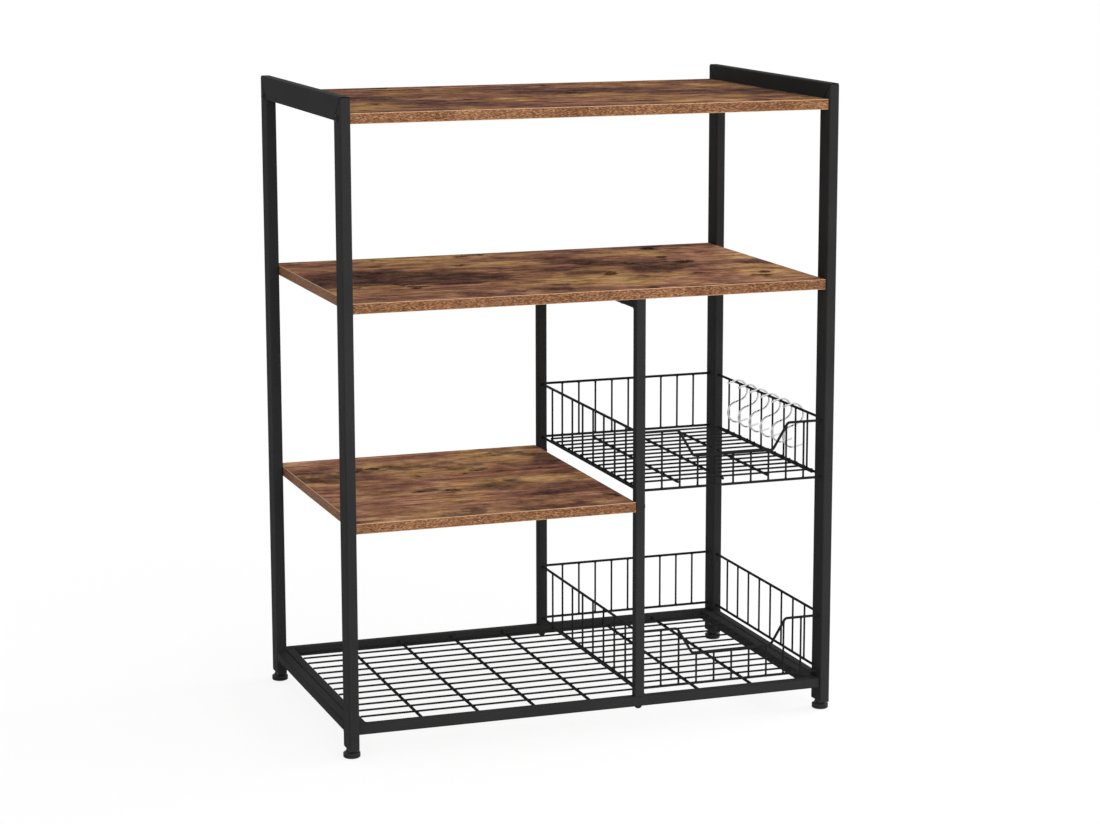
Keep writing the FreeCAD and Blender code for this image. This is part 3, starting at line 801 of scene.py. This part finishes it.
def black_plastic(name):
    """Moulded plastic: a fine spark-eroded grain, and paler patches scattered by a noise, partly scuffs
    and partly painted highlight.
    """
    material, shader, place = new_finish(name, Specular_IOR_Level=0.05)
    grain = place.noise(1400.0, 2.0)
    scuff_and_highlight = place.noise(170.0, 4.0).between(0.58, 0.75)
    # Paler patches: partly scuffs and partly painted highlight.
    tone = (scuff_and_highlight * 0.6 + grain * 0.3).mix(paint(30, 30, 30), paint(92, 92, 92))
    lay(shader, grain, spark_height, Base_Color=tone, Roughness=0.28 + 0.2 * scuff_and_highlight)
    return material


def ribbed_pad(radius, height):
    """Turned pad: a rounded bottom, a groove round the middle, and a shoulder that draws in to the neck.
    Each station is a share of the radius and a share of the height."""
    profile_shares = np.array([
        (0.74, 0.0), (0.85, 0.025), (0.94, 0.075), (0.985, 0.13), (1.0, 0.2), (1.0, 0.255),
        (0.975, 0.29), (0.91, 0.315), (0.91, 0.35), (0.975, 0.375), (1.0, 0.41), (1.0, 0.545),
        (0.985, 0.595), (0.93, 0.64), (0.83, 0.69), (0.735, 0.77), (0.67, 0.88), (0.63, 1.0),
    ])
    return turned([(radius * across, height * up, False) for across, up in profile_shares], steps=48)


def thread(radius, bottom, top):
    """Screw thread: the radius falls by a triangle wave of the height less the turn's share of a
    pitch."""
    turn = np.linspace(0, 2 * np.pi, 24, endpoint=False)
    height = np.arange(bottom, top, thread_pitch / thread_rings)[:, None]
    phase = (height / thread_pitch - turn / (2 * np.pi)) % 1
    reach = radius - thread_depth * np.abs(2 * phase - 1)
    rings = np.stack([reach * np.cos(turn), reach * np.sin(turn), height + 0 * turn], -1)
    return skin(rings)


plastic = black_plastic("moulded_black_plastic")
for end in ("front", "back"):
    for side in ("left", "right"):
        name = f"{end}_{side}_foot"
        low, high = span(f"{name}_pad")
        middle = np.array([*((low + high) / 2)[:2], 0.0])
        pad_radius = (high - low)[0] / 2
        pad, *faces = ribbed_pad(pad_radius, high[2])
        piece(f"{name}_ribbed_pad", [(pad + middle, *faces)], plastic, "foot", name, f"{name}_pad")
        stud_low, stud_high = span(f"{name}_stud")
        stud, *faces = thread((stud_high - stud_low)[0] / 2, stud_low[2], stud_high[2])
        piece(f"{name}_thread", [(stud + middle, *faces)], steel, "steel", name, f"{name}_stud",
              crease=thread_crease)
for node in ("post_plugs", "divider_inserts"):
    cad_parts[node].material_slots[0].material = plastic

# Studio. A pale floor that fades into a white surround, which mirrored rays see too. Soft lights stand
# in front, at the right, above and behind, and the camera at the photograph's place.
floor_size = 12.0
floor_tone = paint(245, 245, 245)
shadow_share = 0.15
fade_start = 0.7
fade_end = 1.8
mesh = bpy.data.meshes.new("studio_floor")
corner = floor_size / 2
outline = [(-corner, -corner, 0), (corner, -corner, 0), (corner, corner, 0), (-corner, corner, 0)]
mesh.from_pydata(outline, [], [(0, 1, 2, 3)])
floor = bpy.data.objects.new("studio_floor", mesh)
bpy.context.scene.collection.objects.link(floor)
floor_finish, shader, place = new_finish("pale_floor", Roughness=0.9, Specular_IOR_Level=0.1)
tree = floor_finish.node_tree
mesh.materials.append(floor_finish)


def rays(tree):
    """1 for a ray that shows the background itself: seen by the camera, mirrored or through glass."""
    path = tree.nodes.new("ShaderNodeLightPath")
    seen = Shade(tree, path.outputs["Is Camera Ray"])
    for kind in ("Is Glossy Ray", "Is Transmission Ray"):
        seen = seen.math("MAXIMUM", seen, Shade(tree, path.outputs[kind]))
    return seen


seen = rays(tree)
shader.inputs["Base Color"].default_value = floor_tone
away = place.node("ShaderNodeVectorMath", {"operation": "LENGTH"}, {0: place}, 1)
whiteness = seen * (1 - shadow_share + shadow_share * away.between(fade_start, fade_end))
glow = seen.node("ShaderNodeEmission", {}, {"Color": (1, 1, 1, 1), "Strength": 1.0})
both = whiteness.node("ShaderNodeMixShader", {}, {0: whiteness, 2: glow})
tree.links.new(shader.outputs[0], both.socket.node.inputs[1])
tree.links.new(both.socket, tree.nodes["Material Output"].inputs["Surface"])

world = bpy.data.worlds.new("studio")
bpy.context.scene.world = world
world.use_nodes = True
tree = world.node_tree
seen = rays(tree)
ambient_share = 0.85
right_share = 0.5
toward = Shade(tree, tree.nodes.new("ShaderNodeTexCoord").outputs["Generated"])
sideways = toward.node("ShaderNodeSeparateXYZ", {}, {"Vector": toward}, 0)
level = seen + (1 - seen) * (ambient_share * (1 + right_share * sideways))
tree.nodes["Background"].inputs["Color"].default_value = (1, 1, 1, 1)
tree.links.new(level.socket, tree.nodes["Background"].inputs["Strength"])


def softbox(name, place, target, width, height, power, mirrored=True):
    """Area light of that width and height, facing the target. One that is not mirrored gives no glare."""
    light = bpy.data.lights.new(name, "AREA")
    light.shape = "RECTANGLE"
    light.size, light.size_y = width, height
    light.energy = power
    lamp = bpy.data.objects.new(name, light)
    bpy.context.scene.collection.objects.link(lamp)
    lamp.location = place
    lamp.visible_glossy = mirrored
    aim = np.subtract(target, place)
    tilt = math.atan2(math.hypot(aim[0], aim[1]), -aim[2])
    lamp.rotation_euler = (tilt, 0, math.atan2(aim[0], -aim[1]) + math.pi)


rack_middle = (0, 0, 0.45)
rack_upper_left = (-0.3, 0, 0.9)
softbox("key_light", (0.4, -3.2, 1.8), rack_middle, 2.2, 2.2, 50, mirrored=False)
softbox("fill_light", (-2.2, -2.6, 1.6), rack_middle, 1.6, 1.6, 5)
softbox("side_light", (2.8, 0.2, 1.5), rack_middle, 1.4, 1.0, 50, mirrored=False)
softbox("top_light", (0.3, -0.8, 2.9), rack_middle, 1.4, 1.4, 5)
softbox("back_edge_light", (-1.2, 3.2, 2.1), rack_upper_left, 0.8, 0.8, 5)

camera_place = (-1.38677, -3.99051, 1.24126)
camera_yaw = 19.2966
camera_pitch = 10.7093
camera_roll = 0.1086
focal_pixels = 2834.5
photo_width_pixels = 1100
sensor_width = 36.0
camera = bpy.data.objects.new("camera", bpy.data.cameras.new("camera"))
bpy.context.scene.collection.objects.link(camera)
camera.location = camera_place
camera.rotation_euler = np.radians((90 - camera_pitch, camera_roll, -camera_yaw))
camera.data.sensor_width = sensor_width
camera.data.lens = focal_pixels / photo_width_pixels * sensor_width
bpy.context.scene.camera = camera
bpy.context.scene.view_settings.view_transform = "Standard"

bpy.context.view_layer.update()
